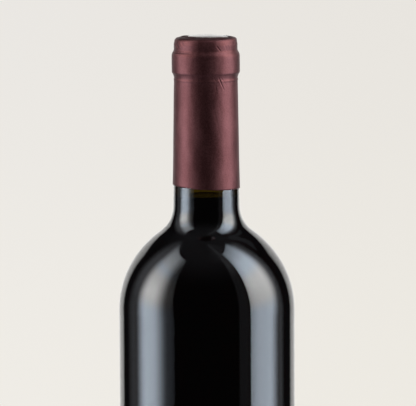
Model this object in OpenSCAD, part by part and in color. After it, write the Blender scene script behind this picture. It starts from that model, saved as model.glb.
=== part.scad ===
// Sealed 750 ml wine bottle: dark glass, wine, heat-shrunk capsule and the disc in its top.
// Millimetres. The bottle stands on Z = 0 with its axis on Z; the viewer is on -Y.

/* [Body] */
// Height from the table to the glass rim
glass_h = 302.1; // [270:0.1:360]
// Outer diameter of the body
body_d = 75.6; // [66:0.1:92]
// Height at which the straight side turns into the shoulder
side_h = 184.9; // [150:0.1:220]
// Thickness of the body's wall
wall = 3.2; // [2:0.1:4]
// Radius of the shoulder's arc in side view
shoulder_r = 40.7; // [34:0.1:50]
// Radius of the hollow arc between shoulder and neck
hollow_r = 13.2; // [10:0.1:18]
// Radius of the same hollow on the inside of the glass
inner_hollow_r = 17; // [12:0.1:22]

/* [Base] */
// Radius of the rounded heel
heel_r = 7; // [4:0.5:10]
// Radius of the rounded corner of the inside floor
inner_heel_r = 7; // [4:0.5:10]
// Radius of the push-up in the base
punt_r = 25; // [18:0.5:28]
// Height of the push-up
punt_h = 16; // [6:0.5:24]
// Thickness of the glass floor
floor_t = 4.5; // [3:0.5:8]

/* [Neck and finish] */
// Outer radius of the neck just under the ring
neck_r = 13.3; // [11:0.1:16]
// How much the neck's radius grows for each millimetre down
neck_taper = 0.0155; // [0:0.0005:0.03]
// Radius of the bore at the mouth
bore_r = 9.25; // [7.5:0.05:11.2]
// How much the bore's radius grows for each millimetre down
bore_taper = 0.0115; // [0:0.0005:0.02]
// Height of the lip above the ring's upper slope
lip_h = 5.4; // [4:0.1:7]
// How far the ring stands out from the neck
ring_out = 1; // [0.5:0.05:1.5]
// Height of the ring's straight face
ring_h = 7.2; // [5:0.1:9]
// Height of each slope from the ring's face to the neck
ring_slope_h = 1.9; // [1:0.1:2.5]
// Rounding of the rim's two edges
rim_round = 1.4; // [0.6:0.1:1.8]

/* [Wine] */
// Depth of the wine's surface below the glass rim
fill_depth = 67.8; // [55:0.1:85]

/* [Capsule] */
// Thickness of the shrunk foil
foil_t = 0.25; // [0.15:0.05:0.4]
// Mean depth of the foil's lower edge below the glass rim
capsule_len = 63.5; // [50:0.5:77]
// Tilt of the lower edge to the side, higher on -X
edge_tilt_x = 3.2; // [-4:0.1:4]
// Tilt of the lower edge to the front, lower on -Y
edge_tilt_y = 1.3; // [-4:0.1:4]
// Width of the rim that is folded over the disc
fold_w = 5.3; // [2:0.1:6]
// Thickness of the disc's flat edge
disc_t = 0.3; // [0.2:0.05:0.5]
// How far the middle of the disc stands up from its edge
disc_crown = 0.5; // [0.2:0.05:1]

/* [Fit] */
// Clearance between pieces that lie on each other
fit_gap = 0.04; // [0.02:0.01:0.1]

/* [Hidden] */
$fn = 96;
body_r = body_d / 2;
bore_wall_r = body_r - wall;
lip_r = neck_r;
round_used = min(rim_round, 0.4 * (lip_r - bore_r));
neck_top_z = glass_h - lip_h - 2 * ring_slope_h - ring_h;
disc_z = glass_h + fit_gap;
fold_in_z = disc_z + disc_t + fit_gap;
fold_in_r = lip_r - fold_w;
disc_r = (bore_r + lip_r) / 2;
fill_z = glass_h - fill_depth;
edge_z = glass_h - capsule_len;

// Points along an arc, from angle a0 to a1 in n steps
function arc(centre, r, a0, a1, n) =
    [for (i = [0:n]) centre + r * [cos(a0 + (a1 - a0) * i / n), sin(a0 + (a1 - a0) * i / n)]];

// Centre of the hollow arc that touches the shoulder's arc and a neck line. The neck line has
// radius line_r at height line_z and grows by taper for each millimetre down.
function hollow_centre(shoulder, side_r, hollow, line_r, line_z, taper) =
    let (k = sqrt(1 + taper * taper),
         reach = side_r + hollow,
         b = line_r + taper * (line_z - shoulder[1]) + hollow * k - shoulder[0],
         rise = (b * taper + sqrt(b * b * taper * taper - k * k * (b * b - reach * reach))) / (k * k))
    shoulder + [b - taper * rise, rise];

// Shoulder and hollow, from the straight side up to the neck line
function shoulder_points(r, side_r, hollow, line_r, line_z, taper) =
    let (shoulder = [r - side_r, side_h],
         centre = hollow_centre(shoulder, side_r, hollow, line_r, line_z, taper),
         lean = atan2(centre[1] - shoulder[1], centre[0] - shoulder[0]))
    concat(arc(shoulder, side_r, 0, lean, 18),
           arc(centre, hollow, 180 + lean, 180 + atan(taper), 12));

// Outside of shoulder, neck, ring and lip, moved outwards by off; rim_z is the top's height
function upper_outline(off, rim_z) =
    let (ring_low = neck_top_z + ring_slope_h,
         ring_high = ring_low + ring_h,
         lip_z = ring_high + ring_slope_h,
         r = lip_r + off,
         rounding = round_used + off)
    concat(shoulder_points(body_r + off, shoulder_r + off, hollow_r - off,
                           neck_r + off, neck_top_z, neck_taper),
           [[neck_r + off, neck_top_z],
            [neck_r + ring_out + off, ring_low],
            [neck_r + ring_out + off, ring_high],
            [r, lip_z]],
           arc([r - rounding, rim_z - rounding], rounding, 0, 90, 6));

// Inside of the glass up to the mouth, moved outwards by off
function cavity_outline(off) =
    let (r = bore_wall_r + off,
         low = floor_t - off,
         heel = inner_heel_r + off,
         dome = arc_over(r - heel, punt_h))
    concat([for (p = dome) [p[0], p[1] + low]],
           arc([r - heel, low + heel], heel, -90, 0, 8),
           shoulder_points(r, shoulder_r - wall + off, inner_hollow_r - off,
                           bore_r + off, glass_h, bore_taper));

// Dome from the axis, where it is h high, out to radius r at height 0
function arc_over(r, h) =
    let (big = (r * r + h * h) / (2 * h), edge = acos(r / big))
    arc([0, h - big], big, 90, edge, 10);

module bottle() {
    color([0.07, 0.08, 0.03])
    difference() {
        rotate_extrude()
        polygon(concat(arc_over(punt_r, punt_h),
                       [[body_r - heel_r, 0]],
                       arc([body_r - heel_r, heel_r], heel_r, -80, 0, 8),
                       upper_outline(0, glass_h),
                       [[0, glass_h]]));
        rotate_extrude()
        polygon(concat(cavity_outline(0),
                       arc([bore_r + round_used, glass_h - round_used], round_used, 180, 90, 5),
                       [[bore_r + round_used, glass_h + 1], [0, glass_h + 1]]));
    }
}

module wine() {
    color([0.20, 0.01, 0.03])
    intersection() {
        rotate_extrude()
        polygon(concat(cavity_outline(-fit_gap), [[bore_r - fit_gap, glass_h], [0, glass_h]]));
        cylinder(r = body_r, h = fill_z);
    }
}

module capsule() {
    inside = upper_outline(fit_gap, fold_in_z);
    outside = upper_outline(fit_gap + foil_t, fold_in_z + foil_t);
    reversed = [for (i = [len(inside) - 1:-1:0]) inside[i]];
    color([0.36, 0.10, 0.13])
    difference() {
        rotate_extrude()
        polygon(concat(outside, [[fold_in_r, fold_in_z + foil_t], [fold_in_r, fold_in_z]], reversed));
        translate([0, 0, edge_z])
        rotate([edge_tilt_y, edge_tilt_x, 0])
        translate([-2 * body_r, -2 * body_r, -glass_h])
        cube([4 * body_r, 4 * body_r, glass_h]);
    }
}

module top_disc() {
    crown_r = fold_in_r - fit_gap;
    color([0.75, 0.74, 0.72])
    translate([0, 0, disc_z])
    rotate_extrude()
    polygon(concat([for (p = arc_over(crown_r, disc_crown)) [p[0], p[1] + disc_t]],
                   [[disc_r, disc_t], [disc_r, 0], [0, 0]]));
}

bottle();
wine();
capsule();
top_disc();
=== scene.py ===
import math

import bmesh
import bpy
from mathutils import Matrix, Vector, noise


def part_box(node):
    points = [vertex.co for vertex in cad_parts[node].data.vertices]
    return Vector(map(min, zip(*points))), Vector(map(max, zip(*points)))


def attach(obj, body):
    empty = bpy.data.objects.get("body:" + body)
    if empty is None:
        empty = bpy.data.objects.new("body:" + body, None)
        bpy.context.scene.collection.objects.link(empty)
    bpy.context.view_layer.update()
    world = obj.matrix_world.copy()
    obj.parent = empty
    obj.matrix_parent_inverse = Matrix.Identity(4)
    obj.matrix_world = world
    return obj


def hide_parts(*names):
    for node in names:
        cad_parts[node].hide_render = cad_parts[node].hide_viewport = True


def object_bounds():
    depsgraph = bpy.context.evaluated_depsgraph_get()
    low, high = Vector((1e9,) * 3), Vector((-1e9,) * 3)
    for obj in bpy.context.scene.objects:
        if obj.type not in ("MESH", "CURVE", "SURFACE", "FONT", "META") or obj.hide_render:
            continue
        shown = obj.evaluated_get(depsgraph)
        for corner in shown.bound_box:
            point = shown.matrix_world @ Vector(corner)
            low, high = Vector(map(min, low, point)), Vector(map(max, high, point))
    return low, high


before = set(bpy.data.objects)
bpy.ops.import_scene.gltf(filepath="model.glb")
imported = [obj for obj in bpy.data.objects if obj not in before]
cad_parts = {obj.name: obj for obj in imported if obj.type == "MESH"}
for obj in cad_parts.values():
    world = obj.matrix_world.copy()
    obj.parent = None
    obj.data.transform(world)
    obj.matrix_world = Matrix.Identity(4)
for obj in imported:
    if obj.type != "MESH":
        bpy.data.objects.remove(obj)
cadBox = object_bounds()
mm = 0.001  # every size below is in millimetres, every mesh in metres


# Node helpers

class Value:
    # A socket with arithmetic, so that a mask or a height reads as an expression
    def __init__(self, graph, socket):
        self.graph = graph
        self.socket = socket

    def maths(self, operation, *others):
        terms = dict(enumerate((self,) + others))
        return self.graph.add("ShaderNodeMath", {"operation": operation}, terms)

    def __add__(self, other):
        return self.maths("ADD", other)

    def __sub__(self, other):
        return self.maths("SUBTRACT", other)

    def __rsub__(self, other):
        return self.maths("MULTIPLY_ADD", -1.0, other)

    def __mul__(self, other):
        return self.maths("MULTIPLY", other)

    def __truediv__(self, other):
        return self.maths("DIVIDE", other)

    def __neg__(self):
        return self.maths("MULTIPLY", -1.0)

    __radd__ = __add__
    __rmul__ = __mul__

    def smooth(self, low, high):
        # 0 below low, 1 above high, with a soft step between
        settings = {"interpolation_type": "SMOOTHSTEP", "clamp": True}
        ends = {"Value": self, "From Min": low, "From Max": high}
        return self.graph.add("ShaderNodeMapRange", settings, ends)

    def between(self, start, end):
        # 1 between two soft steps, 0 outside them
        return self.smooth(*start) * (1 - self.smooth(*end))

    def steps(self, stops):
        # Straight lines through (position, value) stops, level beyond the first and the last
        low, high = stops[0][0], stops[-1][0]
        curve = [((at - low) / (high - low), (level, level, level, 1.0)) for at, level in stops]
        spot = (self - low) / (high - low)
        return self.graph.add("ShaderNodeValToRGB", {"ramp": curve}, {"Fac": spot})


class Graph:
    def __init__(self, tree):
        self.tree = tree

    def add(self, kind, settings=None, values=None, output=0):
        # One node: its settings first, then the values or links of its sockets
        node = self.tree.nodes.new(kind)
        for name, setting in (settings or {}).items():
            if name == "ramp":
                self.setRamp(node.color_ramp, setting)
            else:
                setattr(node, name, setting)
        for key, value in (values or {}).items():
            socket = node.inputs[key]
            if isinstance(value, Value):
                self.tree.links.new(value.socket, socket)
            else:
                socket.default_value = value
        return Value(self, node.outputs[output]) if node.outputs else None

    def out(self, value, name):
        # Another output of the node that value comes from
        return Value(self, value.socket.node.outputs[name])

    @staticmethod
    def setRamp(ramp, stops):
        ramp.interpolation = "LINEAR"
        while len(ramp.elements) < len(stops):
            ramp.elements.new(1.0)
        for element, (position, colour) in zip(ramp.elements, stops):
            element.position = position
            element.color = colour


# Outlines: radius and height in millimetres, as in the construction but for a fuller hollow under the neck

bottleLow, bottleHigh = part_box("bottle")

glass = {
    "bodyRadius": (bottleHigh[0] - bottleLow[0]) / 2 / mm,
    "rimHeight": bottleHigh[2] / mm,
    "sideHeight": 184.9,
    "wall": 3.2,
    "shoulderRadius": 40.7,
    "hollowRadius": 14.0,
    "fullness": 0.25,  # the hollow is a little fuller than an arc, most of all at this height
    "fullHeight": 218.8,
    "fullWidth": 3.0,
    "innerHollowRadius": 17.0,
    "heelRadius": 7.0,
    "innerHeelRadius": 7.0,
    "puntRadius": 25.0,
    "puntHeight": 16.0,
    "puntEdgeRadius": 2.0,
    "floor": 4.5,
    "neckRadius": 13.3,
    "neckTaper": 0.0155,
    "boreRadius": 9.25,
    "boreTaper": 0.0115,
    "lipHeight": 5.4,
    "ringOut": 1.0,
    "ringHeight": 7.2,
    "ringSlope": 1.9,
    "rimRound": 1.4,
    "steps": 144,
    "outOfRound": 0.0012,
    "outOfRoundSize": 60.0,
    "outOfRoundSeed": 3.0,
}


def arc(centre, radius, start, end, count):
    # Points along an arc, angles in degrees
    angles = [math.radians(start + (end - start) * i / count) for i in range(count + 1)]
    return [(centre[0] + radius * math.cos(a), centre[1] + radius * math.sin(a)) for a in angles]


def straight(start, end, count):
    # Points between two ends, which are left out
    return [(start[0] + (end[0] - start[0]) * i / count, start[1] + (end[1] - start[1]) * i / count)
            for i in range(1, count)]


def shoulderOutline(radius, sideRadius, hollow, lineRadius, lineHeight, taper):
    # Shoulder arc and the hollow arc that touches it and the tapered neck line
    shoulder = (radius - sideRadius, glass["sideHeight"])
    slant = 1 + taper * taper
    reach = sideRadius + hollow
    span = lineRadius + taper * (lineHeight - shoulder[1]) + hollow * math.sqrt(slant) - shoulder[0]
    rise = (span * taper + math.sqrt((span * taper) ** 2 - slant * (span * span - reach * reach))) / slant
    centre = (shoulder[0] + span - taper * rise, shoulder[1] + rise)
    lean = math.degrees(math.atan2(rise, centre[0] - shoulder[0]))
    lower = arc(shoulder, sideRadius, 0, lean, 44)
    upper = arc(centre, hollow, 180 + lean, 180 + math.degrees(math.atan(taper)), 26)
    return lower + upper[1:]


def hollowFullness(height):
    # How far the hollow stands out from its arc
    away = (height - glass["fullHeight"]) / glass["fullWidth"]
    return glass["fullness"] * math.exp(-away ** 2)


def glassOutside():
    # Shoulder, neck, ring and lip, up to where the rim's rounding starts; the ring's corners are eased
    g = glass
    slopeEnd = g["rimHeight"] - g["lipHeight"]
    ringHigh = slopeEnd - g["ringSlope"]
    ringLow = ringHigh - g["ringHeight"]
    neckTop = ringLow - g["ringSlope"]
    neck = g["neckRadius"]
    ring = neck + g["ringOut"]
    start = shoulderOutline(g["bodyRadius"], g["shoulderRadius"], g["hollowRadius"],
                            neck, neckTop, g["neckTaper"])
    start = [(r + hollowFullness(z), z) for r, z in start]
    return start + straight(start[-1], (neck, neckTop), 30) + [
        (neck, neckTop), (neck + 0.3, neckTop + 0.45), (ring - 0.25, ringLow - 0.35),
        (ring, ringLow + 0.4), (ring, ringHigh - 0.4), (ring - 0.25, ringHigh + 0.35),
        (neck + 0.2, slopeEnd - 0.35), (neck, slopeEnd + 0.4)]


def dome(radius, height, count):
    # Arc from the axis, where it is highest, out to radius at height 0
    sphere = (radius * radius + height * height) / (2 * height)
    return arc((0, height - sphere), sphere, 90, math.degrees(math.acos(radius / sphere)), count)


def glassOutline():
    # The whole wall: push-up, heel, outside, rim and the inside back to the axis
    g = glass
    edge = g["puntEdgeRadius"]
    heel = g["heelRadius"]
    top = g["rimHeight"]
    rounding = g["rimRound"]
    under = dome(g["puntRadius"], g["puntHeight"], 22)
    under = [(r, z) for r, z in under if r < g["puntRadius"] - 0.8 * edge]
    under[0] = (0.0, under[0][1])
    under += [(g["puntRadius"] - 0.3 * edge, 0.45), (g["puntRadius"] + 0.3 * edge, 0.08),
              (g["puntRadius"] + edge, 0.0), (g["bodyRadius"] - heel, 0.0)]
    under += arc((g["bodyRadius"] - heel, heel), heel, -86, 0, 12)
    side = (g["bodyRadius"], g["sideHeight"])
    outside = straight((g["bodyRadius"], heel), side, 90) + glassOutside()
    rim = arc((g["neckRadius"] - rounding, top - rounding), rounding, 0, 90, 8)
    mouth = arc((g["boreRadius"] + rounding, top - rounding), rounding, 90, 180, 8)
    return under + outside + rim + mouth + list(reversed(cavityOutline(0.0)))[1:]


def cavityOutline(offset):
    # Inside of the wall from the axis up to the mouth, moved outwards by offset
    g = glass
    radius = g["bodyRadius"] - g["wall"] + offset
    heel = g["innerHeelRadius"] + offset
    low = g["floor"] - offset
    floor = [(r, z + low) for r, z in dome(radius - heel, g["puntHeight"], 18)]
    floor[0] = (0.0, floor[0][1])
    corner = arc((radius - heel, low + heel), heel, -90, 0, 12)
    side = straight((radius, low + heel), (radius, g["sideHeight"]), 60)
    shoulder = g["shoulderRadius"] - g["wall"] + offset
    upper = shoulderOutline(radius, shoulder, g["innerHollowRadius"] - offset,
                            g["boreRadius"] + offset, g["rimHeight"], g["boreTaper"])
    mouth = (g["boreRadius"] + offset, g["rimHeight"] - g["rimRound"])
    return floor + corner[1:] + side + upper + straight(upper[-1], mouth, 30) + [mouth]


# Geometry Nodes lathe: turns an outline into a closed solid, which can be slightly out of round

def latheTree():
    tree = bpy.data.node_groups.new("bottle lathe", "GeometryNodeTree")
    for name, kind in (("Outline", "NodeSocketGeometry"), ("Steps", "NodeSocketInt"),
                       ("Out Of Round", "NodeSocketFloat"), ("Ripple Size", "NodeSocketFloat"),
                       ("Seed", "NodeSocketFloat"), ("Material", "NodeSocketMaterial")):
        tree.interface.new_socket(name, in_out="INPUT", socket_type=kind)
    tree.interface.new_socket("Solid", in_out="OUTPUT", socket_type="NodeSocketGeometry")
    g = Graph(tree)
    outline = g.add("NodeGroupInput", output="Outline")
    steps = g.out(outline, "Steps")
    count = g.add("GeometryNodeAttributeDomainSize", {"component": "MESH"}, {"Geometry": outline})
    grid = g.add("GeometryNodeMeshGrid", {}, {"Vertices X": steps + 1, "Vertices Y": count})
    index = g.add("GeometryNodeInputIndex")
    turn = (index / count + 0.0001).maths("FLOOR")
    ring = index - turn * count
    place = g.add("GeometryNodeInputPosition")
    sample = g.add("GeometryNodeSampleIndex", {"data_type": "FLOAT_VECTOR", "domain": "POINT"},
                   {"Geometry": outline, "Value": place, "Index": ring})
    radius = g.add("ShaderNodeSeparateXYZ", {}, {"Vector": sample})
    height = g.out(radius, "Z")
    angle = turn / steps * (2 * math.pi)
    cosine = angle.maths("COSINE")
    sine = angle.maths("SINE")
    size = g.out(outline, "Ripple Size")
    around = g.add("ShaderNodeCombineXYZ", {}, {"X": cosine, "Y": sine, "Z": height / size})
    ripple = g.add("ShaderNodeTexNoise", {"noise_dimensions": "4D"},
                   {"Vector": around, "W": g.out(outline, "Seed"), "Scale": 1.0, "Detail": 1.0})
    swell = 1 + (ripple - 0.5) * g.out(outline, "Out Of Round")
    reach = radius * swell
    point = g.add("ShaderNodeCombineXYZ", {}, {"X": reach * cosine, "Y": reach * sine, "Z": height})
    turned = g.add("GeometryNodeSetPosition", {}, {"Geometry": grid, "Position": point})
    closed = g.add("GeometryNodeMergeByDistance", {}, {"Geometry": turned, "Distance": 2e-6})
    shaded = g.add("GeometryNodeSetShadeSmooth", {}, {"Geometry": closed})
    whole = g.add("GeometryNodeRealizeInstances", {}, {"Geometry": shaded})
    finish = g.out(outline, "Material")
    finished = g.add("GeometryNodeSetMaterial", {}, {"Geometry": whole, "Material": finish})
    g.add("NodeGroupOutput", {}, {"Solid": finished})
    return tree


def plainObject(name, mesh):
    piece = bpy.data.objects.new(name, mesh)
    bpy.context.scene.collection.objects.link(piece)
    return piece


def faceOutwards(mesh):
    work = bmesh.new()
    work.from_mesh(mesh)
    bmesh.ops.recalc_face_normals(work, faces=work.faces)
    if work.calc_volume(signed=True) < 0:
        bmesh.ops.reverse_faces(work, faces=work.faces)
    work.to_mesh(mesh)
    work.free()


def lathe(name, outline, material, steps, outOfRound=0.0, rippleSize=60.0, seed=1.0):
    mesh = bpy.data.meshes.new(name + " outline")
    points = [(r * mm, 0.0, z * mm) for r, z in outline]
    mesh.from_pydata(points, [(i, i + 1) for i in range(len(points) - 1)], [])
    source = plainObject(name + " source", mesh)
    modifier = source.modifiers.new("lathe", "NODES")
    modifier.node_group = latheGroup
    sockets = [item for item in latheGroup.interface.items_tree if item.in_out == "INPUT"]
    inputs = {item.name: item.identifier for item in sockets}
    for key, value in (("Steps", steps), ("Out Of Round", outOfRound), ("Ripple Size", rippleSize * mm),
                       ("Seed", seed), ("Material", material)):
        modifier[inputs[key]] = value
    depsgraph = bpy.context.evaluated_depsgraph_get()
    solid = bpy.data.meshes.new_from_object(source.evaluated_get(depsgraph), depsgraph=depsgraph)
    source.modifiers.remove(modifier)
    bpy.data.objects.remove(source)
    solid.name = name
    faceOutwards(solid)
    return plainObject(name, solid)


# Materials

def newMaterial(name):
    material = bpy.data.materials.new(name)
    material.use_nodes = True
    material.node_tree.nodes.clear()
    return material, Graph(material.node_tree)


def objectPlace(g, stretch=(1.0, 1.0, 1.0)):
    place = g.add("ShaderNodeTexCoord", output="Object")
    return g.add("ShaderNodeMapping", {}, {"Vector": place, "Scale": stretch})


def darkGlass():
    # Olive glass; the colour is all in the depth of the wall
    look = {
        "ior": 1.5,
        "roughness": 0.0,
        "absorption": (437.0, 496.0, 900.0),  # per metre, red green blue
        "rippleSize": 16.0,
        "rippleDepth": 0.0045,
    }
    material, g = newMaterial("dark olive glass")
    ripple = g.add("ShaderNodeTexNoise", {}, {"Vector": objectPlace(g, (1.0, 1.0, 0.5)),
                                              "Scale": 1 / (look["rippleSize"] * mm), "Detail": 1.5,
                                              "Roughness": 0.4})
    bump = g.add("ShaderNodeBump", {}, {
        "Strength": 1.0, "Distance": look["rippleDepth"] * mm, "Height": ripple})
    surface = g.add("ShaderNodeBsdfPrincipled", {}, {
        "Base Color": (1.0, 1.0, 1.0, 1.0), "Roughness": look["roughness"], "IOR": look["ior"],
        "Transmission Weight": 1.0, "Normal": bump})
    densest = max(look["absorption"])
    density = densest * 1.04
    tint = tuple(1 - k / density for k in look["absorption"]) + (1.0,)
    depth = g.add("ShaderNodeVolumeAbsorption", {}, {"Color": tint, "Density": density})
    g.add("ShaderNodeOutputMaterial", {}, {"Surface": surface, "Volume": depth})
    return material


def redWine():
    # Nearly smooth on top, duller where it lies against the glass, and with little shine of its own
    look = {
        "level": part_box("wine")[1][2],
        "ior": 1.13,
        "deep": (0.010, 0.0006, 0.0012, 1.0),
        "lighter": (0.015, 0.0010, 0.0018, 1.0),
        "topRoughness": 0.03,
        "sideRoughness": 0.13,
    }
    material, g = newMaterial("red wine")
    cloud = g.add("ShaderNodeTexNoise", {}, {"Vector": objectPlace(g), "Scale": 40.0, "Detail": 2.0})
    colour = g.add("ShaderNodeMix", {"data_type": "RGBA"}, {
        "Factor": cloud, "A": look["deep"], "B": look["lighter"]}, output=2)
    x = g.add("ShaderNodeSeparateXYZ", {}, {"Vector": objectPlace(g)})
    side = 1 - g.out(x, "Z").smooth(look["level"] - 1.2 * mm, look["level"] - 0.4 * mm)
    rough = look["topRoughness"] + (look["sideRoughness"] - look["topRoughness"]) * side
    surface = g.add("ShaderNodeBsdfPrincipled", {}, {
        "Base Color": colour, "Roughness": rough, "IOR": look["ior"]})
    g.add("ShaderNodeOutputMaterial", {}, {"Surface": surface})
    return material


def burgundyFoil():
    look = {
        "colour": (0.055, 0.0165, 0.0160, 1.0),
        "paler": (0.107, 0.0395, 0.0395, 1.0),
        "metallic": 0.92,
        "roughness": 0.485,
        "grainSize": 0.55,
        "grainDepth": 0.004,
        "dentSize": 4.0,
        "dentDepth": 0.03,
        "bareAndSheen": (0.80, 0.79, 0.77, 1.0),  # pale cut edge round the disc, put on the back half only: partly bare metal, partly painted sheen
        "bareAndSheenRadius": 9.8,
        "bareAndSheenAside": 1.25,
    }
    material, g = newMaterial("burgundy foil")
    place = objectPlace(g)
    x = g.add("ShaderNodeSeparateXYZ", {}, {"Vector": place})
    y = g.out(x, "Y")
    aside = x - look["bareAndSheenAside"] * mm
    radius = (aside * aside + y * y).maths("SQRT") / mm
    # Pale band on the fold's inner edge, on the back half only: partly the bare cut edge, partly painted
    # sheen on the far side
    bareAndSheen = (1 - radius.smooth(look["bareAndSheenRadius"] - 0.3, look["bareAndSheenRadius"])) * y.smooth(0.0, 4 * mm)
    grain = g.add("ShaderNodeTexNoise", {}, {"Vector": place, "Scale": 1 / (look["grainSize"] * mm),
                                             "Detail": 3.0, "Roughness": 0.6})
    drift = g.add("ShaderNodeTexNoise", {}, {"Vector": objectPlace(g, (1.0, 1.0, 0.4)),
                                             "Scale": 1 / (look["dentSize"] * mm), "Detail": 3.0})
    mottle = drift.smooth(0.35, 0.7) * 0.45 + grain.smooth(0.32, 0.68) * 0.55
    colour = g.add("ShaderNodeMix", {"data_type": "RGBA"}, {
        "Factor": mottle, "A": look["colour"], "B": look["paler"]}, output=2)
    # Painted sheen: the pale edge colour goes over the foil on the back half of the fold's inner edge
    colour = g.add("ShaderNodeMix", {"data_type": "RGBA"}, {
        "Factor": bareAndSheen, "A": colour, "B": look["bareAndSheen"]}, output=2)
    height = grain * (look["grainDepth"] / look["dentDepth"]) + drift
    bump = g.add("ShaderNodeBump", {}, {
        "Strength": 1.0, "Distance": look["dentDepth"] * mm, "Height": height})
    rough = look["roughness"] - 0.05 + 0.10 * mottle
    surface = g.add("ShaderNodeBsdfPrincipled", {}, {
        "Base Color": colour, "Metallic": look["metallic"], "Roughness": rough, "Normal": bump})
    g.add("ShaderNodeOutputMaterial", {}, {"Surface": surface})
    return material


def paleMetal():
    look = {"colour": (0.96, 0.94, 0.90, 1.0), "worn": (0.80, 0.78, 0.745, 1.0), "roughness": 0.3}
    material, g = newMaterial("pale disc metal")
    place = objectPlace(g)
    grain = g.add("ShaderNodeTexNoise", {}, {"Vector": place, "Scale": 1 / (0.5 * mm), "Detail": 3.0})
    patch = g.add("ShaderNodeTexNoise", {}, {"Vector": place, "Scale": 1 / (3.0 * mm), "Detail": 2.0})
    colour = g.add("ShaderNodeMix", {"data_type": "RGBA"}, {
        "Factor": patch.smooth(0.4, 0.75), "A": look["colour"], "B": look["worn"]}, output=2)
    bump = g.add("ShaderNodeBump", {}, {"Strength": 1.0, "Distance": 0.01 * mm, "Height": grain})
    surface = g.add("ShaderNodeBsdfPrincipled", {}, {
        "Base Color": colour, "Metallic": 1.0, "Roughness": look["roughness"] + 0.1 * patch, "Normal": bump})
    g.add("ShaderNodeOutputMaterial", {}, {"Surface": surface})
    return material


# Bottle and wine

latheGroup = latheTree()
bottlePiece = lathe("glass bottle", glassOutline(), darkGlass(), glass["steps"],
                    glass["outOfRound"], glass["outOfRoundSize"], glass["outOfRoundSeed"])
print("glass bottle:", len(bottlePiece.data.polygons), "faces")

wine = {
    "intoWall": 0.15,  # how far it reaches into the glass
    "level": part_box("wine")[1][2] / mm,
    "meniscusHeight": 0.3,
    "meniscusWidth": 1.92,
    "meniscusFall": 5.632,
    "steps": 96,
}


def wineOutline():
    # The wine climbs a little where it meets the glass
    side = [point for point in cavityOutline(wine["intoWall"]) if point[1] < wine["level"] - 0.5]
    edgeRadius = side[-1][0]
    surface = []
    for i in range(17):
        inward = wine["meniscusWidth"] * i / 16
        climb = wine["meniscusHeight"] * math.exp(-wine["meniscusFall"] * i / 16)
        surface.append((edgeRadius - inward, wine["level"] + climb))
    return side + surface + [(0.0, wine["level"])]


winePiece = lathe("wine", wineOutline(), redWine(), wine["steps"])
print("wine:", len(winePiece.data.polygons), "faces")


# Capsule: shrunk foil with a folded, pleated rim

foil = {
    "topHeight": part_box("capsule")[1][2] / mm,
    "thickness": 0.25,
    "clearance": 0.04,  # between glass and foil
    "rimDepth": 2.2,  # where the side ends and the fold starts
    "flatDepth": 0.53,
    "flatRadius": 11.9,
    "foldRise": 0.04,
    "foldRadius": 8.2,
    "roundShare": 0.4,
    "beadDepth": 18.4,
    "beadHeight": 0.14,
    "beadWidth": 0.45,
    "flare": 0.08,
    "edgeDepth": 64.3,  # mean depth of the lower edge below the top
    "edgeTiltX": 3.2,
    "edgeTiltY": 0.8,
    "edgeRadius": 14.4,  # radius at which the tilts are taken
    "creaseRadius": 14.0,  # radius at which a crease's angles are turned into widths
    "edgeWave": 0.12,
    "edgeWaveSize": 5.0,
    "flareStart": 9.0,  # above the lower edge
    "rowsMeet": 24.0,  # depth above which the rows are closer
    "smoothFrom": 20.0,  # the dents fade out between these two depths
    "smoothTo": 34.0,
    "waves": 0.04,
    "wavesSize": 7.0,
    "dents": 0.03,
    "dentsSize": 2.2,
    "foldWave": 0.25,
    "foldWaveSize": 3.5,
    "foldWobble": 0.08,
    "foldAside": 0.48,  # how much narrower the fold is on the right
    "pleats": 29,
    "pleatDepth": 0.20,
    "jitterSize": 4.0,
    "foldSwell": 0.16,
    "foldSwellSize": 4.5,
    "foldCrumple": 0.08,
    "foldCrumpleSize": 1.3,
    "frontLift": 0.04,
    "backDrop": 0.15,
    "rightDrop": 0.14,
    "humpAngle": -84.0,  # hump on the left of the fold, with a notch in its middle
    "humpHeight": 0.16,
    "humpWidth": 22.0,
    "notchDepth": 0.26,
    "notchWidth": 5.0,
    "steps": 300,
    "upperRows": 120,
    "lowerRows": 70,
    "foldRows": 34,
    "seed": 11.0,
}

# Depths below the top at which the glass under the foil changes, and the foil's radius there
lipEnd = foil["topHeight"] - (glass["rimHeight"] - glass["lipHeight"])
ringStart = lipEnd + glass["ringSlope"]
ringEnd = ringStart + glass["ringHeight"]
neckStart = ringEnd + glass["ringSlope"]
foilLip = glass["neckRadius"] + foil["thickness"] + foil["clearance"]
foilRing = foilLip + glass["ringOut"]

# Side of the foil down to the neck as (depth, radius): it is drawn in sharply under the ring
foilSide = [
    (foil["rimDepth"], foilLip - 0.17), (3.2, foilLip + 0.04), (lipEnd - 0.3, foilLip),
    (ringStart - 0.5, foilRing - 0.1), (ringStart + 0.6, foilRing), (ringEnd + 0.25, foilRing),
    (ringEnd + 0.7, foilRing - 0.4), (neckStart + 0.3, foilLip + 0.06)]

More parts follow.
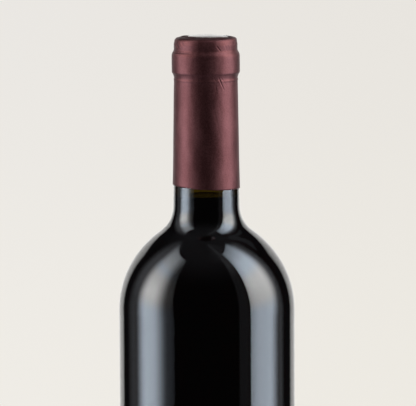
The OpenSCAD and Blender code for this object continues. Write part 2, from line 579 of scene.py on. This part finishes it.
# Creases: angle from the front in degrees and depth in mm at both ends, half width and depth in mm
creases = [
    (23, 16.6, 34, 22.0, 0.24, -0.18),
    (27, 16.4, 40, 20.4, 0.20, -0.08),
    (14, 16.6, 20, 18.8, 0.22, -0.08),
    (-12, 16.4, -9, 19.0, 0.22, -0.07),
    (20, 3.4, 28, 5.6, 0.26, -0.15),
    (44, 3.2, 51, 5.6, 0.28, -0.18),
    (36, 2.8, 43, 6.0, 0.26, -0.10),
    (-70, 2.6, -58, 4.2, 0.6, -0.14),
    (10, 26.5, 24, 40.0, 0.35, -0.03),
    (17, 19.5, 20, 23.5, 0.26, -0.05),
    (-78, 6.75, -26, 6.35, 0.2, -0.30),
    (-50, 2.2, -42, 3.6, 0.5, -0.12),
    (-60, 3.6, -50, 4.4, 0.4, 0.06),
    (5, 1.7, 60, 1.6, 0.25, -0.06),
    (150, 18.0, 170, 26.0, 0.28, -0.10),
    (-120, 17.8, -132, 24.0, 0.28, -0.09),
    (-165, 3.5, -150, 6.0, 0.3, -0.08),
    (105, 6.6, 140, 6.8, 0.2, -0.25),
]


def smoothStep(value, low, high):
    t = min(max((value - low) / (high - low), 0.0), 1.0)
    return t * t * (3 - 2 * t)


def along(profile, depth):
    # Radius of a profile at a depth, on the straight line between its points
    for (d0, r0), (d1, r1) in zip(profile, profile[1:]):
        if d0 <= depth <= d1:
            return r0 + (r1 - r0) * (depth - d0) / (d1 - d0)
    return profile[-1][1]


def sideRadius(depth):
    # Corners averaged over a third of a millimetre either way, then neck, bead and flared lower edge
    shifts = (-0.34, -0.17, 0.0, 0.17, 0.34)
    near = [along(foilSide, max(depth + shift, foil["rimDepth"])) for shift in shifts]
    neck = glass["neckTaper"] * max(depth - neckStart, 0.0)
    bead = foil["beadHeight"] * math.exp(-((depth - foil["beadDepth"]) / foil["beadWidth"]) ** 2)
    flare = foil["flare"] * smoothStep(depth, foil["edgeDepth"] - foil["flareStart"], foil["edgeDepth"] + 1.0)
    return sum(near) / len(near) + neck + bead + flare


def foldPoint(part):
    # Depth and radius on the fold, from 0 at the side to 1 at the inner edge:
    # round over the rim, then nearly flat
    f = foil
    if part < f["roundShare"]:
        turn = math.radians(90 * part / f["roundShare"])
        depth = f["rimDepth"] - (f["rimDepth"] - f["flatDepth"]) * math.sin(turn)
        radius = f["flatRadius"] + (foilSide[0][1] - f["flatRadius"]) * math.cos(turn)
        return depth, radius
    inward = (part - f["roundShare"]) / (1 - f["roundShare"])
    depth = f["flatDepth"] - (f["flatDepth"] + f["foldRise"]) * math.sin(inward * math.pi / 2)
    radius = f["flatRadius"] + (f["foldRadius"] - f["flatRadius"]) * inward
    return depth, radius


# Cross-section of a crease, in half widths: the crease and a weaker wave the other way on each side
creaseShape = {"reach": 4.0, "endShare": 0.12, "wave": 0.45, "wavePlace": 1.7, "waveWidth": 0.8}


def creaseHeight(angle, depth, radius):
    c = creaseShape
    total = 0.0
    for startAngle, startDepth, endAngle, endDepth, width, height in creases:
        sideways = math.radians(endAngle - startAngle) * radius
        down = endDepth - startDepth
        across = math.radians((angle - startAngle + 180) % 360 - 180) * radius
        below = depth - startDepth
        length = sideways * sideways + down * down
        t = min(max((across * sideways + below * down) / length, 0.0), 1.0)
        away = math.hypot(across - t * sideways, below - t * down) / width
        if away < c["reach"]:
            ends = math.sin(math.pi * (c["endShare"] + (1 - 2 * c["endShare"]) * t))
            wave = c["wave"] * math.exp(-((away - c["wavePlace"]) / c["waveWidth"]) ** 2)
            total += height * ends * (math.exp(-away * away) - wave)
    return total


def wobble(x, y, z, scale, seed):
    return noise.noise(Vector((x / scale + seed, y / scale - seed, z / scale + 2 * seed)))


def sidePoint(angle, share, inner):
    # Side of the foil, from the lower edge (0) up to the rim (1)
    f = foil
    a = math.radians(angle)
    sx, sy = math.sin(a), -math.cos(a)
    tilt = math.tan(math.radians(f["edgeTiltX"])) * sx - math.tan(math.radians(f["edgeTiltY"])) * sy
    edge = f["edgeDepth"] + f["edgeRadius"] * tilt
    edge += f["edgeWave"] * wobble(14 * sx, 14 * sy, 0.0, f["edgeWaveSize"], f["seed"])
    meet = f["rowsMeet"]
    if share < 0.5:
        depth = edge + (meet - edge) * share * 2
    else:
        depth = meet + (f["rimDepth"] - meet) * (share * 2 - 1)
    radius = sideRadius(depth)
    x, y = radius * sx, radius * sy
    upper = 1 - smoothStep(depth, f["smoothFrom"], f["smoothTo"])
    radius += (f["waves"] + f["waves"] * upper) * wobble(x, y, depth * 0.6, f["wavesSize"], f["seed"] + 1)
    radius += f["dents"] * upper * wobble(x, y, depth, f["dentsSize"], f["seed"] + 2)
    radius += creaseHeight(angle, depth, f["creaseRadius"])
    radius -= f["thickness"] if inner else 0.0
    return radius * sx, radius * sy, f["topHeight"] - depth


def rimPoint(angle, share, inner):
    # Fold over the disc, from the side (0) to its inner edge (1): pleated, humped and narrower on the right
    f = foil
    a = math.radians(angle)
    sx, sy = math.sin(a), -math.cos(a)
    depth, radius = foldPoint(share)
    inward = smoothStep(share, 0.2, 0.9)
    start = foilSide[0][1]
    radius = start - (start - radius) * (1 - f["foldAside"] * smoothStep(sx, 0.3, 1.0))
    radius += f["foldWobble"] * wobble(13 * sx, 13 * sy, 0.0, f["wavesSize"], f["seed"] + 1)
    radius += creaseHeight(angle, depth, f["creaseRadius"])
    last = smoothStep(share, 0.7, 1.0)  # the inner edge
    radius += f["foldWave"] * last * wobble(8 * sx, 8 * sy, 0.0, f["foldWaveSize"], f["seed"] + 3)
    x, y = radius * sx, radius * sy
    jitter = wobble(9 * sx, 9 * sy, 0.0, f["jitterSize"], f["seed"] + 4)
    near = 0.1 + 0.9 * smoothStep(-sy, -0.4, 0.3)  # the pleats fade out towards the back
    sharp = 1 - math.sqrt(abs(math.cos(a * f["pleats"] + 5 * jitter + 3 * share)))
    height = f["pleatDepth"] * near * inward * (1 - sharp) * (0.4 + 1.1 * abs(jitter)) - depth
    height += f["foldSwell"] * near * inward * wobble(x, y, 3.0, f["foldSwellSize"], f["seed"] + 5)
    height += f["foldCrumple"] * inward * wobble(x, y, 7.0, f["foldCrumpleSize"], f["seed"] + 6)
    lean = f["frontLift"] * max(-sy, 0.0) ** 2 - f["backDrop"] * max(sy, 0.0) - f["rightDrop"] * sx
    away = angle - f["humpAngle"]
    notch = f["notchDepth"] * math.exp(-(away / f["notchWidth"]) ** 2)
    hump = (f["humpHeight"] - notch) * math.exp(-(away / f["humpWidth"]) ** 2)
    height += inward * (lean + hump)
    if inner:
        height -= f["thickness"] * smoothStep(share, 0.0, 0.35) * (1 - 0.6 * last)
        radius -= f["thickness"] * (1 - smoothStep(share, 0.15, 0.5))
    return radius * sx, radius * sy, f["topHeight"] + height


def capsuleMesh():
    f = foil
    rings = [(sidePoint, 0.5 * i / f["lowerRows"], False) for i in range(f["lowerRows"])]
    rings += [(sidePoint, 0.5 + 0.5 * i / f["upperRows"], False) for i in range(f["upperRows"])]
    rings += [(rimPoint, i / f["foldRows"], False) for i in range(f["foldRows"] + 1)]
    rings += [(rimPoint, i / 12, True) for i in range(12, -1, -1)]
    rings += [(sidePoint, i / 24, True) for i in range(23, -1, -1)]
    steps = f["steps"]
    points = []
    for place, share, inner in rings:
        for i in range(steps):
            points.append(tuple(v * mm for v in place(360 * i / steps - 180, share, inner)))
    faces = []
    for j in range(len(rings)):
        above = (j + 1) % len(rings)
        for i in range(steps):
            beside = (i + 1) % steps
            faces.append((j * steps + i, j * steps + beside, above * steps + beside, above * steps + i))
    mesh = bpy.data.meshes.new("capsule")
    mesh.from_pydata(points, [], faces)
    mesh.polygons.foreach_set("use_smooth", [True] * len(faces))
    mesh.update()
    faceOutwards(mesh)
    return mesh


capsulePiece = plainObject("capsule foil", capsuleMesh())
capsulePiece.data.materials.append(burgundyFoil())
print("capsule:", len(capsulePiece.data.polygons), "faces")


# Disc in the capsule's top: nearly flat in the middle, falling to its edge, with a plain pressed ring

disc = {
    "radius": (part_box("top_disc")[1][0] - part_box("top_disc")[0][0]) / 2 / mm,
    "low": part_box("top_disc")[0][2] / mm,
    "thickness": 0.12,
    "crown": 0.90,
    "crownRadius": 9.0,
    "ringRadius": 5.4,
    "ringDepth": 0.08,
    "ringWidth": 0.3,
    "steps": 96,
}


def discOutline():
    d = disc
    top = []
    for i in range(41):
        r = d["crownRadius"] * i / 40
        rise = d["crown"] * (1 - (r / d["crownRadius"]) ** 5)
        rise -= d["ringDepth"] * math.exp(-((r - d["ringRadius"]) / d["ringWidth"]) ** 2)
        top.append((r, d["low"] + d["thickness"] + rise))
    return top + [(d["radius"], d["low"] + d["thickness"]), (d["radius"], d["low"]), (0.0, d["low"])]


discPiece = lathe("top disc", discOutline(), paleMetal(), disc["steps"])
print("top disc:", len(discPiece.data.polygons), "faces")


# What each piece stands for

for piece, node, slot in ((bottlePiece, "bottle", "bottle_glass"), (winePiece, "wine", "wine"),
                          (capsulePiece, "capsule", "capsule_foil"), (discPiece, "top_disc", "disc_metal")):
    piece.name = piece.name.replace(" ", "_")
    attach(piece, "root")
    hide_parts(node)


# Studio: a pale backdrop for the camera; softboxes, grey strips and dim patches for the gloss

studio = {
    "paleLow": (0.866, 0.841, 0.791, 1.0),
    "paleHigh": (0.823, 0.799, 0.765, 1.0),
    "paleSide": (0.983, 0.980, 0.968, 1.0),
    "cool": (0.88, 1.0, 1.15, 1.0),
    "white": (1.0, 1.0, 1.0, 1.0),
    "dullColour": (0.97, 1.0, 1.08, 1.0),
    "backColour": (1.0, 0.99, 0.975, 1.0),
    "dark": 0.02,
    "backdrop": 1.0,
    "backEdge": (138.5, 146.0),
    "backTop": (18.5, 23.5),
    "whiteHeight": ((-2.0, 12.0), (30.0, 44.0)),
    "highLeftHeight": (40.0, 46.0),
    "highLeftEdge": (-20.0, 20.0),
    "highLeftShare": 0.55,
    "paleHeight": (-11.0, -3.0),
    "paleAcross": (-0.06, 0.06),
    "floorRadius": 0.62,
    "floorFade": 0.3,
    "floorSides": 64,
    "floorColour": (0.665, 0.612, 0.550, 1.0),
}

# Lights. A pair is where a soft step starts and ends, in degrees of azimuth or elevation

leftBox = {
    "level": 9.2,
    "outerEdge": (-109.0, -88.0),
    "fade": (-79.0, -55.0),
    "fadeShare": 0.93,
    "tail": (-58.0, -36.0),
    "tailShare": 0.07,
    "innerPlace": 43.8,
    "innerLean": 0.14,
    "leanFrom": -10.0,
    "innerEdge": (-1.1, -0.3),
    "centre": 80.0,
    "spread": 0.2,
    "spreadHeight": (42.0, 60.0),
    "lowShift": 2.0,
    "lowHeight": (-8.0, 12.0),
    "heights": [(-50, 0.15), (-12, 0.8), (2, 0.84), (18, 1.0), (61, 0.26), (62, 0.0)],
}
rightBox = {
    "level": 9.6,
    "innerEdge": (59.2, 59.8),
    "innerShare": 0.5,
    "rise": (54.0, 73.0),
    "outerEdge": (94.0, 114.0),
    "lowShift": 5.0,
    "lowHeight": (-14.0, 16.0),
    "shiftFrom": (80.0, 92.0),
    "heights": [(-50, 0.13), (-12, 0.68), (2, 0.69), (30, 1.0), (50, 0.82), (70, 0.25), (71, 0.0)],
}
dull = {
    "leftStrip": ((-130.0, -110.0), (-101.0, -94.0)),
    "leftLevel": 1.25,
    "rightStrip": ((98.0, 106.0), (111.0, 124.0)),
    "rightLevel": 1.45,
    "stripLevel": 0.28,
    "stripRise": 0.18,
    "stripFall": 0.16,
    "stripTop": (58.0, 66.0),
    "middleHeight": (0.0, 26.0),
    "highHeight": (38.0, 58.0),
    "topHeight": (58.0, 70.0),
    "dimStrip": ((42.0, 44.0), (57.0, 60.0)),
    "dimLevel": 0.11,
    "dimRise": 0.19,
    "dimFall": 0.16,
    "overhead": 0.085,
    "overheadHeight": (30.0, 76.0),
    "frontPatch": ((5.0, 45.0), (75.0, 100.0)),
    "frontHeight": (60.0, 70.0),
    "frontLevel": 0.07,
    "sidePatch": ((127.0, 131.0), (138.0, 141.0)),
    "sideHeight": ((33.0, 38.0), (60.0, 63.0)),
    "sideLevel": 0.10,
    "spotHeight": 80.0,  # a darker spot high up at the back
    "spotEdge": (5.0, 7.0),
    "spotStretch": 0.12,
    "spotShare": 0.85,
    "lowLevel": 0.14,
    "lowHeight": (-45.0, -18.0),
}


def leftLight(azimuth, elevation):
    # Brightest on its outer side, wider high up, with a sharp slanting inner edge
    b = leftBox
    place = (azimuth + b["centre"]) * (1 - b["spread"] * elevation.smooth(*b["spreadHeight"])) - b["centre"]
    place = place - b["lowShift"] * (1 - elevation.smooth(*b["lowHeight"]))
    fade = b["fadeShare"] * place.smooth(*b["fade"])
    tail = b["tailShare"] * place.smooth(*b["tail"])
    across = place.smooth(*b["outerEdge"]) * (1 - fade - tail)
    end = azimuth + b["innerPlace"] + b["innerLean"] * elevation.maths("MAXIMUM", b["leanFrom"])
    across = across * (1 - end.smooth(*b["innerEdge"]))
    return across * elevation.steps(b["heights"]) * b["level"]


def rightLight(azimuth, elevation):
    # Sharp inner edge at part strength, and an outer edge that comes inwards low down
    b = rightBox
    low = 1 - elevation.smooth(*b["lowHeight"])
    place = azimuth + b["lowShift"] * low * azimuth.smooth(*b["shiftFrom"])
    rise = b["innerShare"] + (1 - b["innerShare"]) * place.smooth(*b["rise"])
    across = place.smooth(*b["innerEdge"]) * rise * (1 - place.smooth(*b["outerEdge"]))
    return across * elevation.steps(b["heights"]) * b["level"]


def greyLight(azimuth, elevation):
    # Grey strips behind the boxes and a dim one in front of the right box
    d = dull
    left = azimuth.between(*d["leftStrip"]) * d["leftLevel"]
    right = azimuth.between(*d["rightStrip"]) * d["rightLevel"]
    high = elevation.smooth(*d["highHeight"])
    level = d["stripLevel"] + d["stripRise"] * elevation.smooth(*d["middleHeight"]) - d["stripFall"] * high
    dimLevel = d["dimLevel"] + d["dimRise"] * high - d["dimFall"] * elevation.smooth(*d["topHeight"])
    grey = (left + right) * level * (1 - elevation.smooth(*d["stripTop"]))
    return grey + azimuth.between(*d["dimStrip"]) * dimLevel


def overheadLight(azimuth, elevation):
    # A faint sheet overhead, with two brighter patches and a darker spot
    d = dull
    over = elevation.smooth(*d["overheadHeight"]) * d["overhead"]
    over = over + azimuth.between(*d["frontPatch"]) * elevation.smooth(*d["frontHeight"]) * d["frontLevel"]
    over = over + azimuth.between(*d["sidePatch"]) * elevation.between(*d["sideHeight"]) * d["sideLevel"]
    aside = (azimuth.maths("ABSOLUTE") - 180).maths("ABSOLUTE") * d["spotStretch"]
    upwards = (elevation - d["spotHeight"]).maths("ABSOLUTE")
    spot = 1 - (aside + upwards).smooth(*d["spotEdge"])
    return over * (1 - d["spotShare"] * spot)


def buildWorld():
    s = studio
    world = bpy.data.worlds.new("studio")
    bpy.context.scene.world = world
    world.use_nodes = True
    world.node_tree.nodes.clear()
    g = Graph(world.node_tree)
    way = g.add("ShaderNodeTexCoord", output="Generated")
    x = g.add("ShaderNodeSeparateXYZ", {}, {"Vector": way})
    y, z = g.out(x, "Y"), g.out(x, "Z")
    degrees = 180 / math.pi
    azimuth = x.maths("ARCTAN2", -y) * degrees  # 0 towards -Y, positive to the right
    elevation = z.maths("ARCSINE", z) * degrees

    boxes = leftLight(azimuth, elevation) + rightLight(azimuth, elevation)
    behind = azimuth.maths("ABSOLUTE").smooth(*s["backEdge"])
    backdrop = behind * (1 - elevation.smooth(*s["backTop"])) * s["backdrop"]
    low = dull["lowLevel"] * (1 - elevation.smooth(*dull["lowHeight"]))
    faint = greyLight(azimuth, elevation) + low + overheadLight(azimuth, elevation) + s["dark"]

    # The boxes are cool low down and high up, white between, and about half as cool high on the left
    white = elevation.between(*s["whiteHeight"])
    highLeft = elevation.smooth(*s["highLeftHeight"]) * s["highLeftShare"]
    highLeft = highLeft * (1 - azimuth.smooth(*s["highLeftEdge"]))
    tint = g.add("ShaderNodeMix", {"data_type": "RGBA"}, {
        "Factor": white.maths("MAXIMUM", highLeft), "A": s["cool"], "B": s["white"]}, output=2)
    boxLight = g.add("ShaderNodeBackground", {}, {"Color": tint, "Strength": boxes})
    dullLight = g.add("ShaderNodeBackground", {}, {"Color": s["dullColour"], "Strength": faint})
    backLight = g.add("ShaderNodeBackground", {}, {"Color": s["backColour"], "Strength": backdrop})
    darkRoom = g.add("ShaderNodeAddShader", {}, {0: boxLight, 1: dullLight})
    room = g.add("ShaderNodeAddShader", {}, {0: darkRoom, 1: backLight})

    # What the camera sees behind the bottle
    fade = g.add("ShaderNodeMix", {"data_type": "RGBA"}, {
        "Factor": elevation.smooth(*s["paleHeight"]), "A": s["paleLow"], "B": s["paleHigh"]}, output=2)
    shade = g.add("ShaderNodeMix", {"data_type": "RGBA", "blend_type": "MULTIPLY"}, {
        "Factor": x.smooth(*s["paleAcross"]), "A": fade, "B": s["paleSide"]}, output=2)
    pale = g.add("ShaderNodeBackground", {}, {"Color": shade, "Strength": 1.0})
    seen = g.add("ShaderNodeLightPath", output="Is Camera Ray")
    both = g.add("ShaderNodeMixShader", {}, {0: seen, 1: room, 2: pale})
    g.add("ShaderNodeOutputWorld", {}, {"Surface": both})


def buildFloor():
    s = studio
    material, g = newMaterial("pale floor")
    place = g.add("ShaderNodeTexCoord", output="Object")
    distance = g.add("ShaderNodeVectorMath", {"operation": "LENGTH"}, {0: place}, output="Value")
    matt = g.add("ShaderNodeBsdfDiffuse", {}, {"Color": s["floorColour"]})
    clear = g.add("ShaderNodeBsdfTransparent")
    below = g.add("ShaderNodeNewGeometry", output="Backfacing")  # clear from below, to show the base
    fade = distance.smooth(s["floorFade"], s["floorRadius"]).maths("MAXIMUM", below)
    faded = g.add("ShaderNodeMixShader", {}, {0: fade, 1: matt, 2: clear})
    g.add("ShaderNodeOutputMaterial", {}, {"Surface": faded})
    mesh = bpy.data.meshes.new("floor")
    angles = [2 * math.pi * i / s["floorSides"] for i in range(s["floorSides"])]
    ring = [(s["floorRadius"] * math.cos(a), s["floorRadius"] * math.sin(a), 0.0) for a in angles]
    mesh.from_pydata(ring, [], [tuple(range(s["floorSides"]))])
    mesh.materials.append(material)
    floor = plainObject("floor", mesh)
    floor.visible_glossy = False


def buildCamera():
    view = {
        "aimDepth": 72.0,  # aimed this far below the capsule's top
        "aimRight": 0.69,
        "distance": 1.6,
        "elevation": 7.0,
        "roll": -0.27,
        "lens": 322.4,
    }
    data = bpy.data.cameras.new("camera")
    data.lens = view["lens"]
    data.sensor_width = 36.0
    data.clip_end = 50.0
    camera = bpy.data.objects.new("camera", data)
    bpy.context.scene.collection.objects.link(camera)
    aim = Vector((view["aimRight"] * mm, 0.0, cadBox[1][2] - view["aimDepth"] * mm))
    tilt = math.radians(view["elevation"])
    camera.location = aim + view["distance"] * Vector((0.0, -math.cos(tilt), math.sin(tilt)))
    facing = (aim - camera.location).to_track_quat("-Z", "Y").to_matrix()
    camera.rotation_euler = (facing @ Matrix.Rotation(math.radians(view["roll"]), 3, "Z")).to_euler()
    bpy.context.scene.camera = camera


buildWorld()
buildFloor()
buildCamera()
bpy.context.scene.view_settings.view_transform = "Standard"
print("studio ready")
